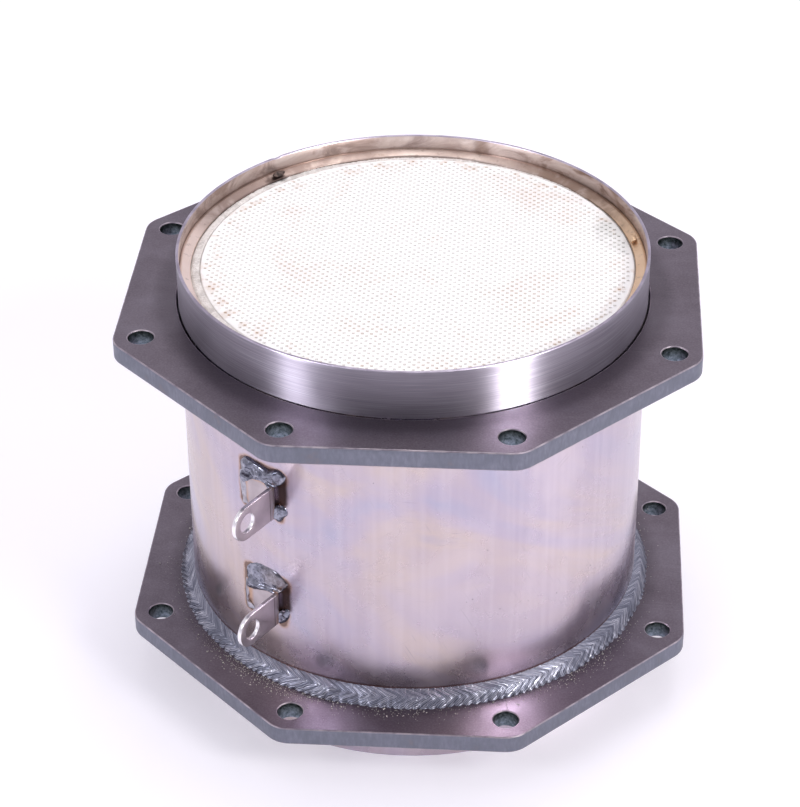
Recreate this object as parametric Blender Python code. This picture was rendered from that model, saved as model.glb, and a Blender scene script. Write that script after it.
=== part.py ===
"""Flanged honeycomb can: a rolled stainless can between two octagonal bolting plates.

Run with: blender --background --python part.py
Metres, +Z up. The origin is the centre of the can's lower rim, which the part stands on.
Lengths below are in millimetres. A clock angle is counted from the front (-Y) towards -X.
"""

from math import cos, pi, radians, sin, sqrt

import bmesh
import bpy
from mathutils import Matrix, Vector

MM = 0.001
SEGMENTS = 72
GAP = 0.3  # between pieces that touch

# Can: one rolled and seam-welded cylinder, open at both ends.
CAN_RADIUS = 96.85
CAN_WALL = 1.2
CAN_HEIGHT = 190.8
CAN_EDGE = 0.3
CAN_BORE = CAN_RADIUS - CAN_WALL
SEAM_CLOCK = 194.75

# Plates: regular octagons with a bolt hole at each corner.
PLATE_THICKNESS = 8.0
PLATE_APOTHEM = 118.0
PLATE_CORNER_RADIUS = 12.0
PLATE_EDGE = 0.4
PLATE_BORE = 97.8
PLATE_SIDES = 8
BOLT_CIRCLE_RADIUS = 115.5
BOLT_HOLE_RADIUS = 5.25
BOLT_HOLE_SEGMENTS = 24
LOWER_PLATE_BOTTOM = 22.5
UPPER_PLATE_TOP = 169.7
UPPER_PLATE_BOTTOM = UPPER_PLATE_TOP - PLATE_THICKNESS
LOWER_PLATE_TOP = LOWER_PLATE_BOTTOM + PLATE_THICKNESS
FILLET_LEG = 5.5
FILLET_CROWN = 0.9

# Ceramic honeycomb, mat round it, and a retaining ring at each mouth.
HONEYCOMB_RADIUS = 89.0
HONEYCOMB_SHIFT = 1.7  # the block sits off centre, towards +X
HONEYCOMB_RECESS = 7.9  # from each rim to the block's face
HONEYCOMB_EDGE = 0.6
RING_DEPTH = 6.1  # from the rim to the ring's outer top edge
RING_BORE = 91.1
RING_DISH = 1.4
RING_THICKNESS = 1.5
SEAL_HEIGHT = 6.0
RING_TACK_CLOCKS = (17.25, 137.25, 257.25)
TACK_RADIUS = 2.0

# Lugs: two bent tabs, one above the other, welded to the can by their feet.
LUG_CLOCK = 32.25
LUG_HEIGHTS = {"upper": 120.0, "lower": 66.9}
LUG_WIDTH = 15.2
LUG_THICKNESS = 1.8
LUG_BEND_INSIDE = 1.2
LUG_OFFSET = 3.5  # the tab's outer face lies this far beside its clock line
LUG_FOOT_REACH = 13.7  # from the clock line to the foot's end, round the can
LUG_HOLE_REACH = 19.2  # from the can's surface to the hole's axis
LUG_HOLE_RADIUS = 4.2
LUG_BEND_STEPS = 6
LUG_ROUND_STEPS = 24

# Weld beads: width along the surface, and crown, the height above it.
TOP_WELD_WIDTH, TOP_WELD_CROWN = 4.4, 2.8
TOP_WELD_PAST_FOOT = 5.2  # how far the bead runs on past the foot's end
TOP_WELD_PAST_TAB = 2.0
END_WELD_WIDTH, END_WELD_CROWN = 3.6, 1.8
ROOT_WELD_WIDTH, ROOT_WELD_CROWN = 4.4, 2.6
SEAM_WELD_WIDTH, SEAM_WELD_CROWN = 3.0, 0.6
SEAM_WELD_CLEARANCE = 1.0  # from the seam bead's ends to the fillets

# Facets.
STATION_STEPS = 12
SECTION_STEPS = 7
FILLET_STEPS = 4
RING_LIP_STEPS = 4
CORNER_STEPS = 4
FOOT_STEPS = 4
BLUNT_END = 0.35  # a bead's end section, as a share of its full section


def clear_scene():
    for old in list(bpy.data.objects):
        bpy.data.objects.remove(old, do_unlink=True)


def material(name, colour, roughness, metallic):
    finish = bpy.data.materials.new(name)
    finish.use_nodes = True
    shader = finish.node_tree.nodes["Principled BSDF"]
    shader.inputs["Base Color"].default_value = (*colour, 1.0)
    shader.inputs["Roughness"].default_value = roughness
    shader.inputs["Metallic"].default_value = metallic
    finish.diffuse_color = (*colour, 1.0)
    return finish


def make_materials():
    return {
        "can": material("can_stainless", (0.62, 0.57, 0.60), 0.25, 1.0),
        "plate": material("mill_scale_plate", (0.16, 0.14, 0.16), 0.55, 0.6),
        "weld": material("weld_metal", (0.42, 0.44, 0.47), 0.35, 1.0),
        "ceramic": material("white_ceramic", (0.90, 0.88, 0.83), 0.90, 0.0),
        "mat": material("fibre_mat", (0.80, 0.78, 0.72), 1.0, 0.0),
        "seal": material("edge_seal_braid", (0.45, 0.40, 0.35), 0.95, 0.0),
        "ring": material("heat_tinted_stainless", (0.72, 0.56, 0.40), 0.35, 1.0),
        "lug": material("tab_stainless", (0.60, 0.56, 0.55), 0.30, 1.0),
    }


def clock_direction(clock):
    """Unit vector that points out of the can at a clock angle."""
    return Vector((-sin(radians(clock)), -cos(radians(clock)), 0.0))


def clock_tangent(clock):
    """Unit vector round the can, towards a growing clock angle."""
    return Vector((-cos(radians(clock)), sin(radians(clock)), 0.0))


def add_object(name, shape, finish, smooth_angle=30.0):
    """Turn a bmesh in millimetres into a named object in metres."""
    bmesh.ops.recalc_face_normals(shape, faces=shape.faces)
    bmesh.ops.scale(shape, vec=(MM, MM, MM), verts=shape.verts)
    mesh = bpy.data.meshes.new(name)
    shape.to_mesh(mesh)
    shape.free()
    mesh.shade_smooth()
    mesh.set_sharp_from_angle(angle=radians(smooth_angle))
    if finish:
        mesh.materials.append(finish)
    piece = bpy.data.objects.new(name, mesh)
    bpy.context.scene.collection.objects.link(piece)
    return piece


def add_cutter(name, shape):
    cutter = add_object(name, shape, None)
    cutter.hide_render = True
    cutter.display_type = "WIRE"
    return cutter


def cut(piece, cutter, operation="DIFFERENCE"):
    boolean = piece.modifiers.new(cutter.name, "BOOLEAN")
    boolean.operation = operation
    boolean.solver = "EXACT"
    boolean.object = cutter


def turned(profile, segments=SEGMENTS):
    """Spin a closed (radius, height) outline once round Z."""
    shape = bmesh.new()
    points = [shape.verts.new((0.0, -radius, height)) for radius, height in profile]
    edges = [shape.edges.new((points[i - 1], points[i])) for i in range(len(points))]
    bmesh.ops.spin(
        shape,
        geom=points + edges,
        cent=(0.0, 0.0, 0.0),
        axis=(0.0, 0.0, 1.0),
        angle=2.0 * pi,
        steps=segments,
        use_merge=True,
    )
    return shape


def prism(outline, depth):
    """Extrude a closed outline of vectors along the depth vector."""
    shape = bmesh.new()
    face = shape.faces.new([shape.verts.new(point) for point in outline])
    grown = bmesh.ops.extrude_face_region(shape, geom=[face])
    moved = [item for item in grown["geom"] if isinstance(item, bmesh.types.BMVert)]
    bmesh.ops.translate(shape, vec=depth, verts=moved)
    return shape


def add_round_bar(shape, centre, axis, radius, length, segments):
    """Add a closed round bar, centred on a point, to a shape."""
    turn = Vector((0.0, 0.0, 1.0)).rotation_difference(axis).to_matrix().to_4x4()
    bmesh.ops.create_cone(
        shape,
        cap_ends=True,
        segments=segments,
        radius1=radius,
        radius2=radius,
        depth=length,
        matrix=Matrix.Translation(centre) @ turn,
    )


def mirrored_height(profile):
    """The same outline at the can's other end."""
    return [(radius, CAN_HEIGHT - height) for radius, height in profile]


def octagon_outline():
    """Corner-rounded octagon, anticlockwise, as a list of (x, y)."""
    turn = 2.0 * pi / PLATE_SIDES
    centre_radius = (PLATE_APOTHEM - PLATE_CORNER_RADIUS) / cos(turn / 2.0)
    outline = []
    for corner in range(PLATE_SIDES):
        middle = (corner + 0.5) * turn
        for step in range(CORNER_STEPS + 1):
            angle = middle - turn / 2.0 + turn * step / CORNER_STEPS
            outline.append((
                centre_radius * cos(middle) + PLATE_CORNER_RADIUS * cos(angle),
                centre_radius * sin(middle) + PLATE_CORNER_RADIUS * sin(angle),
            ))
    return outline


def bolt_hole_centres():
    turn = 2.0 * pi / PLATE_SIDES
    angles = [(corner + 0.5) * turn for corner in range(PLATE_SIDES)]
    return [(BOLT_CIRCLE_RADIUS * cos(a), BOLT_CIRCLE_RADIUS * sin(a)) for a in angles]


def make_plate(name, bottom, finish):
    outline = [Vector((x, y, bottom)) for x, y in octagon_outline()]
    shape = prism(outline, Vector((0.0, 0.0, PLATE_THICKNESS)))
    level = [e for e in shape.edges if abs(e.verts[0].co.z - e.verts[1].co.z) < PLATE_EDGE]
    bmesh.ops.bevel(shape, geom=level, offset=PLATE_EDGE, segments=1, affect="EDGES")
    plate = add_object(name, shape, finish)

    holes = bmesh.new()
    middle = bottom + PLATE_THICKNESS / 2.0
    through = 3.0 * PLATE_THICKNESS
    up = Vector((0.0, 0.0, 1.0))
    add_round_bar(holes, Vector((0.0, 0.0, middle)), up, PLATE_BORE, through, SEGMENTS)
    for x, y in bolt_hole_centres():
        centre = Vector((x, y, middle))
        add_round_bar(holes, centre, up, BOLT_HOLE_RADIUS, through, BOLT_HOLE_SEGMENTS)
    cut(plate, add_cutter(name + "_holes", holes))
    return plate


def can_profile():
    outer, inner, top, edge = CAN_RADIUS, CAN_BORE, CAN_HEIGHT, CAN_EDGE
    return [
        (outer - edge, top), (outer, top - edge), (outer, edge), (outer - edge, 0.0),
        (inner + edge, 0.0), (inner, edge), (inner, top - edge), (inner + edge, top),
    ]


def fillet_profile(plate_face, side):
    """Convex fillet between the can and a plate; side is +1 above the plate, -1 below."""
    inner = CAN_RADIUS + GAP
    profile = [(inner, plate_face + side * GAP)]
    for step in range(FILLET_STEPS + 1):
        share = step / FILLET_STEPS
        bulge = FILLET_CROWN * sin(pi * share) / sqrt(2.0)
        profile.append((
            inner + FILLET_LEG * (1.0 - share) + bulge,
            plate_face + side * (GAP + FILLET_LEG * share + bulge),
        ))
    return profile


def ring_profile():
    """Dished washer with a rolled inner lip, just under the upper rim."""
    outer = CAN_BORE - GAP
    top = CAN_HEIGHT - RING_DEPTH
    lip = RING_THICKNESS / 2.0
    lip_radius = RING_BORE + lip
    lip_height = top - RING_DISH - lip
    profile = [(outer, top - RING_THICKNESS), (outer, top)]
    for step in range(RING_LIP_STEPS + 1):
        angle = radians(90.0 + 180.0 * step / RING_LIP_STEPS)
        profile.append((lip_radius + lip * cos(angle), lip_height + lip * sin(angle)))
    return profile


def honeycomb_profile():
    return [
        (HONEYCOMB_RADIUS - HONEYCOMB_EDGE, HONEYCOMB_RECESS),
        (HONEYCOMB_RADIUS, HONEYCOMB_RECESS + HONEYCOMB_EDGE),
        (HONEYCOMB_RADIUS, CAN_HEIGHT - HONEYCOMB_RECESS - HONEYCOMB_EDGE),
        (HONEYCOMB_RADIUS - HONEYCOMB_EDGE, CAN_HEIGHT - HONEYCOMB_RECESS),
    ]


def make_honeycomb(finish):
    """Solid of the block's outer shape, with both faces closed."""
    shape = bmesh.new()
    rings = []
    for radius, height in honeycomb_profile():
        points = []
        for segment in range(SEGMENTS):
            angle = 2.0 * pi * segment / SEGMENTS - pi / 2.0
            x = HONEYCOMB_SHIFT + radius * cos(angle)
            points.append(shape.verts.new((x, radius * sin(angle), height)))
        rings.append(points)
    for low, high in zip(rings, rings[1:]):
        for i in range(SEGMENTS):
            shape.faces.new((low[i - 1], low[i], high[i], high[i - 1]))
    shape.faces.new(rings[0])
    shape.faces.new(rings[-1])
    return add_object("ceramic_honeycomb", shape, finish)


def make_wrap(name, low, high, finish):
    """Soft layer that fills the uneven space between the block and the can."""
    height = high - low
    middle = Vector((0.0, 0.0, (low + high) / 2.0))
    up = Vector((0.0, 0.0, 1.0))
    shape = bmesh.new()
    add_round_bar(shape, middle, up, CAN_BORE - GAP, height, SEGMENTS)
    wrap = add_object(name, shape, finish)
    hole = bmesh.new()
    centre = middle + Vector((HONEYCOMB_SHIFT, 0.0, 0.0))
    add_round_bar(hole, centre, up, HONEYCOMB_RADIUS + GAP, 2.0 * height, SEGMENTS)
    cut(wrap, add_cutter(name + "_hole", hole))
    return wrap


def make_bead(name, path, width, crown, finish, surface=CAN_RADIUS + GAP):
    """Weld bead along a path of (clock, height) points on a round surface.

    The ends taper like an ellipse, and the section is half an ellipse with a flat base.
    """
    clocks = [clock for clock, _ in path]
    heights = [height for _, height in path]
    run = Vector(((clocks[-1] - clocks[0]) * radians(1.0) * surface, heights[-1] - heights[0]))
    across = Vector((-run.y, run.x)).normalized()
    blunt = width / run.length
    shape = bmesh.new()
    rings = []
    for station in range(STATION_STEPS + 1):
        share = station / STATION_STEPS
        from_end = min(share, 1.0 - share) / blunt
        size = max(BLUNT_END, sqrt(1.0 - max(0.0, 1.0 - 2.0 * from_end) ** 2))
        place = share * (len(path) - 1)
        first = min(int(place), len(path) - 2)
        part = place - first
        clock = clocks[first] * (1.0 - part) + clocks[first + 1] * part
        height = heights[first] * (1.0 - part) + heights[first + 1] * part
        ring = []
        for step in range(SECTION_STEPS + 1):
            angle = pi * step / SECTION_STEPS
            aside = across * (cos(angle) * size * width / 2.0)
            radius = surface + sin(angle) * size * crown
            turned_clock = clock + aside.x / (radians(1.0) * surface)
            point = clock_direction(turned_clock) * radius
            ring.append(shape.verts.new((point.x, point.y, height + aside.y)))
        rings.append(ring)
    for ring, following in zip(rings, rings[1:]):
        for i in range(len(ring)):
            shape.faces.new((ring[i - 1], ring[i], following[i], following[i - 1]))
    shape.faces.new(rings[0])
    shape.faces.new(rings[-1])
    return add_object(name, shape, finish, smooth_angle=60.0)


def make_ring_tack(name, clock, height, finish):
    """Small round weld drop between the can's inner wall and a retaining ring."""
    shape = bmesh.new()
    centre = clock_direction(clock) * (CAN_BORE - GAP - TACK_RADIUS)
    place = Matrix.Translation((centre.x, centre.y, height))
    bmesh.ops.create_uvsphere(
        shape, u_segments=10, v_segments=6, radius=TACK_RADIUS - GAP / 2.0, matrix=place
    )
    return add_object(name, shape, finish, smooth_angle=60.0)


def lug_outline(height):
    """Plan outline of the bent strip: foot round the can, bend, straight tab."""
    under = CAN_RADIUS + GAP
    over = under + LUG_THICKNESS
    bend_outside = LUG_BEND_INSIDE + LUG_THICKNESS
    reach = CAN_RADIUS + LUG_HOLE_REACH + LUG_WIDTH / 2.0
    out, aside = clock_direction(LUG_CLOCK), clock_tangent(LUG_CLOCK)

    def round_can(radius, along):
        angle = along / CAN_RADIUS
        return out * (radius * cos(angle)) + aside * (radius * sin(angle))

    def in_bend(radius, share):
        centre = out * (under + bend_outside) + aside * (bend_outside - LUG_OFFSET)
        angle = share * pi / 2.0
        return centre - out * (radius * cos(angle)) - aside * (radius * sin(angle))

    foot_start = bend_outside - LUG_OFFSET
    foot = [
        foot_start + (LUG_FOOT_REACH - foot_start) * (1.0 - step / FOOT_STEPS)
        for step in range(FOOT_STEPS)
    ]
    bend = [step / LUG_BEND_STEPS for step in range(LUG_BEND_STEPS + 1)]
    outline = [round_can(under, along) for along in foot]
    outline += [in_bend(bend_outside, share) for share in bend]
    outline.append(out * reach - aside * LUG_OFFSET)
    outline.append(out * reach + aside * (LUG_THICKNESS - LUG_OFFSET))
    outline += [in_bend(LUG_BEND_INSIDE, share) for share in reversed(bend)]
    outline += [round_can(over, along) for along in reversed(foot)]
    return [point + Vector((0.0, 0.0, height)) for point in outline]


def tab_outline(height):
    """Side view of the lug: square at the foot, round about the eye."""
    out = clock_direction(LUG_CLOCK)
    up = Vector((0.0, 0.0, 1.0))
    half = LUG_WIDTH / 2.0
    behind = out * (CAN_RADIUS - LUG_FOOT_REACH) + up * height
    eye = out * (CAN_RADIUS + LUG_HOLE_REACH) + up * height
    outline = [behind + up * LUG_WIDTH, behind - up * LUG_WIDTH]
    outline += [out * CAN_RADIUS + up * (height - LUG_WIDTH), eye - out * half - up * half]
    round_steps = LUG_ROUND_STEPS // 2
    for step in range(round_steps + 1):
        angle = pi * step / round_steps - pi / 2.0
        outline.append(eye + out * (half * cos(angle)) + up * (half * sin(angle)))
    outline += [eye - out * half + up * half, out * CAN_RADIUS + up * (height + LUG_WIDTH)]
    return outline


def make_lug(name, height, finish):
    """Bent strip, with its outer end rounded and an eye drilled through."""
    bottom = height - LUG_WIDTH / 2.0
    strip = prism(lug_outline(bottom), Vector((0.0, 0.0, LUG_WIDTH)))
    lug = add_object(name, strip, finish)

    out, aside = clock_direction(LUG_CLOCK), clock_tangent(LUG_CLOCK)
    start = aside * -LUG_FOOT_REACH
    outline = [point + start for point in tab_outline(height)]
    trim = prism(outline, aside * (3.0 * LUG_FOOT_REACH))
    cut(lug, add_cutter(name + "_trim", trim), "INTERSECT")

    eye = bmesh.new()
    centre = out * (CAN_RADIUS + LUG_HOLE_REACH) + Vector((0.0, 0.0, height))
    through = 4.0 * (LUG_OFFSET + LUG_THICKNESS)
    add_round_bar(eye, centre, aside, LUG_HOLE_RADIUS, through, LUG_ROUND_STEPS)
    cut(lug, add_cutter(name + "_eye", eye))
    return lug


def make_lug_welds(side, height, finish):
    """Heavy bead over the foot, thin bead down its far end, short bead beside the bend."""
    top = height + LUG_WIDTH / 2.0
    bottom = height - LUG_WIDTH / 2.0

    def clock(along):
        """Clock angle at a distance round the can from the lug's own clock line."""
        return LUG_CLOCK + along / (radians(1.0) * CAN_RADIUS)

    level = top + GAP + TOP_WELD_WIDTH / 2.0
    make_bead(
        side + "_lug_top_weld",
        [
            (clock(LUG_FOOT_REACH + TOP_WELD_PAST_FOOT), level),
            (clock(-LUG_OFFSET - TOP_WELD_PAST_TAB), level),
        ],
        TOP_WELD_WIDTH, TOP_WELD_CROWN, finish,
    )
    end = clock(LUG_FOOT_REACH + GAP + END_WELD_WIDTH / 2.0)
    make_bead(
        side + "_lug_end_weld",
        [(end, top - GAP), (end, bottom - END_WELD_WIDTH / 2.0)],
        END_WELD_WIDTH, END_WELD_CROWN, finish,
    )
    root = clock(-LUG_OFFSET - GAP - ROOT_WELD_WIDTH / 2.0)
    make_bead(
        side + "_lug_root_weld",
        [(root, height), (root, bottom - ROOT_WELD_WIDTH / 2.0)],
        ROOT_WELD_WIDTH, ROOT_WELD_CROWN, finish,
    )


def build():
    clear_scene()
    finish = make_materials()

    add_object("can_shell", turned(can_profile()), finish["can"])
    make_bead(
        "can_seam_weld",
        [
            (SEAM_CLOCK, LOWER_PLATE_TOP + FILLET_LEG + SEAM_WELD_CLEARANCE),
            (SEAM_CLOCK, UPPER_PLATE_BOTTOM - FILLET_LEG - SEAM_WELD_CLEARANCE),
        ],
        SEAM_WELD_WIDTH, SEAM_WELD_CROWN, finish["weld"],
    )

    make_plate("lower_flange", LOWER_PLATE_BOTTOM, finish["plate"])
    make_plate("upper_flange", UPPER_PLATE_BOTTOM, finish["plate"])
    lower_fillet = fillet_profile(LOWER_PLATE_TOP, 1.0)
    upper_fillet = fillet_profile(UPPER_PLATE_BOTTOM, -1.0)
    add_object("lower_flange_weld", turned(lower_fillet), finish["weld"], 50.0)
    add_object("upper_flange_weld", turned(upper_fillet), finish["weld"], 50.0)

    make_honeycomb(finish["ceramic"])
    seal_top = CAN_HEIGHT - RING_DEPTH - RING_DISH - RING_THICKNESS - GAP
    seal_bottom = seal_top - SEAL_HEIGHT
    make_wrap("upper_edge_seal", seal_bottom, seal_top, finish["seal"])
    make_wrap("support_mat", CAN_HEIGHT - seal_bottom + GAP, seal_bottom - GAP, finish["mat"])
    make_wrap("lower_edge_seal", CAN_HEIGHT - seal_top, CAN_HEIGHT - seal_bottom, finish["seal"])
    add_object("upper_retaining_ring", turned(ring_profile()), finish["ring"])
    lower_ring = mirrored_height(ring_profile())
    add_object("lower_retaining_ring", turned(lower_ring), finish["ring"])
    tack_height = CAN_HEIGHT - RING_DEPTH + TACK_RADIUS
    for number, clock in enumerate(RING_TACK_CLOCKS, start=1):
        make_ring_tack(f"upper_ring_tack_{number}", clock, tack_height, finish["weld"])
        lower_height = CAN_HEIGHT - tack_height
        make_ring_tack(f"lower_ring_tack_{number}", clock, lower_height, finish["weld"])

    for side, height in LUG_HEIGHTS.items():
        make_lug(side + "_lug", height, finish["lug"])
        make_lug_welds(side, height, finish["weld"])


build()
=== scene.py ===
"""Looks of the flanged ceramic honeycomb canister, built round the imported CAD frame.

Metres, +Z up. A clock angle is counted in degrees from the front (-Y) towards -X.
"""

import random
from math import ceil, cos, degrees, exp, hypot, pi, radians, sin, sqrt, tan, tau

import bmesh
import bpy
import numpy as np
from mathutils import Matrix, Vector, noise


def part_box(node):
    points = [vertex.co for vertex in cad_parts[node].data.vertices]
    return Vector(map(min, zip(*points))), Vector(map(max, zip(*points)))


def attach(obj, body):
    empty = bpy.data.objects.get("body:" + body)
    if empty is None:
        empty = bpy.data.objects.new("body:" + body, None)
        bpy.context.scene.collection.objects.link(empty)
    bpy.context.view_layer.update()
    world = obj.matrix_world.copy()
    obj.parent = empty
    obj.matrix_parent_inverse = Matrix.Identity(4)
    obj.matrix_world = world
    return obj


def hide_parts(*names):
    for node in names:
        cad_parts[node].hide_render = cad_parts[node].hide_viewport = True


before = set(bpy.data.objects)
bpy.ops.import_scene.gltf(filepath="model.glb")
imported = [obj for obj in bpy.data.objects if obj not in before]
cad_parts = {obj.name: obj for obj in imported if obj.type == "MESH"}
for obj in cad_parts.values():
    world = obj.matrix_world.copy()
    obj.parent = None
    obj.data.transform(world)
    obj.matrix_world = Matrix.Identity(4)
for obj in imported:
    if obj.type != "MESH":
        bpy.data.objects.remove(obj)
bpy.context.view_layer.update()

MM = 0.001
UP = Vector((0, 0, 1))

# Sizes read from the frame.
CAN_RADIUS, _, CAN_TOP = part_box("can_shell")[1]
PLATES = {side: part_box(side + "_flange") for side in ("lower", "upper")}
PLATE_APOTHEM = PLATES["upper"][1].x
LUG_HEIGHTS = {side: sum(corner.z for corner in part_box(side + "_lug")) / 2 for side in PLATES}
BLOCK_LOW, BLOCK_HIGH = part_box("ceramic_honeycomb")
BLOCK_RADIUS = (BLOCK_HIGH.x - BLOCK_LOW.x) / 2
BLOCK_SHIFT = Vector(((BLOCK_HIGH.x + BLOCK_LOW.x) / 2, 0, 0))
SEAL_LOW, SEAL_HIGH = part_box("upper_edge_seal")
RING_LOW, RING_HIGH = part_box("upper_retaining_ring")

# Sizes that the frame's boxes do not give, as the CAD has them.
CAN_BORE = CAN_RADIUS - 1.2 * MM
SEAM_CLOCK = 194.75
PLATE_BORE = 97.55 * MM
PLATE_CORNER = 12 * MM
BOLT_CIRCLE = 115.5 * MM
BOLT_HOLE = 5.25 * MM
FILLET_LEG = 5.8 * MM
RIPPLE_SPACING = 3.3 * MM
RIPPLE_DEPTH = 0.46 * MM
RIPPLE_SKEW = 7 * MM  # how far a ripple's ends trail behind its middle
FINE_RIPPLE = 1.15 * MM
RING_BORE = 91.1 * MM
LUG_CLOCK = 32.25
CREASE_RADIUS = CAN_RADIUS + 4.9 * MM  # bend line across the lugs' tabs
LUG_WIDTH = 15.2 * MM
LUG_THICKNESS = 1.8 * MM
LUG_OFFSET = 3.5 * MM
LUG_FOOT_REACH = 13.7 * MM
LUG_EYE_REACH = 19.2 * MM
LUG_EYE = 4.2 * MM
CELL_PITCH = 25.4 * MM / sqrt(200)  # 200 cells per square inch
TACK_CLOCKS = (17.25, 137.25, 257.25)
SOOT_CLOCK = 136
SCORCH_AND_SHADE_CLOCK = 28.9  # heat tint and painted shade on the wall in the crevice beside the lugs' tabs


# --- Camera, light and floor ---

CAMERA_PLACE = Vector((0.0589, -0.8992, 0.7084))
CAMERA_TARGET = Vector((-0.00576, -0.00038, 0.11272))
CAMERA_ROLL = radians(-0.425)
WARM_LIGHT, COOL_LIGHT = (1, 0.98, 0.97), (0.93, 0.93, 1)


def make_camera():
    data = bpy.data.cameras.new("camera")
    data.lens = 113.23
    data.sensor_width = 36
    data.dof.use_dof = False
    camera = bpy.data.objects.new("camera", data)
    bpy.context.scene.collection.objects.link(camera)
    aim = (CAMERA_TARGET - CAMERA_PLACE).to_track_quat("-Z", "Y").to_matrix()
    aim = aim @ Matrix.Rotation(CAMERA_ROLL, 3, "Z")
    camera.matrix_world = Matrix.Translation(CAMERA_PLACE) @ aim.to_4x4()
    bpy.context.scene.camera = camera


def add_softbox(name, azimuth, elevation, distance, size, power, colour):
    """Area light that looks at the object; azimuth 0 is the front and 90 is +X."""
    data = bpy.data.lights.new(name, "AREA")
    data.shape = "RECTANGLE"
    data.size, data.size_y = size
    data.energy = power
    data.color = colour
    light = bpy.data.objects.new(name, data)
    turn, rise = radians(azimuth), radians(elevation)
    away = Vector((sin(turn) * cos(rise), -cos(turn) * cos(rise), sin(rise)))
    light.location = UP * CAN_TOP / 2 + away * distance
    light.rotation_euler = (-away).to_track_quat("-Z", "Y").to_euler()
    bpy.context.scene.collection.objects.link(light)
    return light


def make_world():
    """Pale studio surroundings, darker where the photographer would stand."""
    world = bpy.data.worlds.new("studio")
    world.use_nodes = True
    nodes = Nodes(world.node_tree)
    direction = nodes.split(nodes.add("ShaderNodeTexCoord").outputs["Generated"])
    front = nodes.band(direction["Y"], -0.30, -0.72)
    above = nodes.band(direction["Z"], 0.10, 0.30)
    dark = nodes.math("MULTIPLY", front, above)
    background = world.node_tree.nodes["Background"].inputs
    nodes.feed(background["Color"], nodes.blend(dark, (0.95, 0.92, 1), (0.17, 0.16, 0.19)))
    nodes.feed(background["Strength"], 0.78)
    bpy.context.scene.world = world


def make_light():
    make_world()
    add_softbox("key_right", 51, 35, 1.7, (0.44, 0.44), 11, WARM_LIGHT)
    add_softbox("fill_left", -46, 35, 1.7, (0.5, 0.42), 6.2, COOL_LIGHT)
    add_softbox("overhead", 165, 70, 1.9, (0.9, 0.9), 7, (1, 0.98, 0.96))


def add_can_strips(can):
    """Tall, narrow lights that only the can receives, for its brushed band's two streaks."""
    receivers = bpy.data.collections.new("lit_by_strips")
    receivers.objects.link(can)
    for name, azimuth, power, colour in (
        ("strip_right", 48.8, 44, (1, 0.99, 1)), ("strip_left", -49.5, 18, COOL_LIGHT)
    ):
        light = add_softbox(name, azimuth, 17, 1.7, (0.34, 1), power, colour)
        light.light_linking.receiver_collection = receivers


def make_floor():
    """Softly glowing pale paper, as on a light table, that curves up far behind the object."""
    half_width, front, back, rise, steps = 2.6, -3.2, 1.2, 1.4, 16
    profile = [(front, 0), (back, 0)]
    for angle in spread(0, pi / 2, pi / 2 / steps)[1:]:
        profile.append((back + rise * sin(angle), rise - rise * cos(angle)))
    vertices = [(x, y, z) for y, z in profile for x in (-half_width, half_width)]
    faces = [(i, i + 1, i + 3, i + 2) for i in range(0, len(vertices) - 2, 2)]
    mesh = bpy.data.meshes.new("floor")
    mesh.from_pydata(vertices, [], faces)
    mesh.shade_smooth()
    floor = bpy.data.objects.new("floor", mesh)
    bpy.context.scene.collection.objects.link(floor)
    paper = Finish("floor_paper", 0)
    paper.tone = paper.blend(
        paper.band(paper.noise(180), 0.3, 0.7), (0.68, 0.665, 0.71), (0.71, 0.695, 0.73)
    )
    paper.set("Emission Color", (0.95, 0.93, 1))
    paper.set("Emission Strength", 0.40)
    mesh.materials.append(paper.done(0.85))


# --- Material nodes ---

class Nodes:
    """A node tree in the making. Most methods add a node and return its output socket."""

    def __init__(self, tree):
        self.tree = tree

    def feed(self, socket, value):
        """Link an output, or set a plain value."""
        if isinstance(value, bpy.types.NodeSocket):
            self.tree.links.new(value, socket)
        elif socket.type == "RGBA":
            socket.default_value = (*value, 1)[:4]
        else:
            socket.default_value = value

    def add(self, kind, feeds=None, **settings):
        """New node, with its settings made and its sockets fed by name or number."""
        node = self.tree.nodes.new(kind)
        for key, value in settings.items():
            setattr(node, key, value)
        for key, value in (feeds or {}).items():
            self.feed(node.inputs[key], value)
        return node

    def math(self, operation, first, second=0):
        return self.add("ShaderNodeMath", {0: first, 1: second}, operation=operation).outputs[0]

    def vector(self, operation, first, second=(0, 0, 0)):
        node = self.add("ShaderNodeVectorMath", {0: first, 1: second}, operation=operation)
        return node.outputs["Value" if operation in ("DOT_PRODUCT", "LENGTH") else "Vector"]

    def split(self, vector):
        return self.add("ShaderNodeSeparateXYZ", {0: vector}).outputs

    def band(self, value, low, high, at_low=0, at_high=1):
        """Smooth step of a value, clamped outside low and high."""
        feeds = dict(enumerate((value, low, high, at_low, at_high)))
        return self.add("ShaderNodeMapRange", feeds, interpolation_type="SMOOTHSTEP").outputs[0]

    def blend(self, factor, first, second):
        feeds = {"Factor": factor, 6: first, 7: second}
        return self.add("ShaderNodeMix", feeds, data_type="RGBA").outputs[2]


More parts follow.
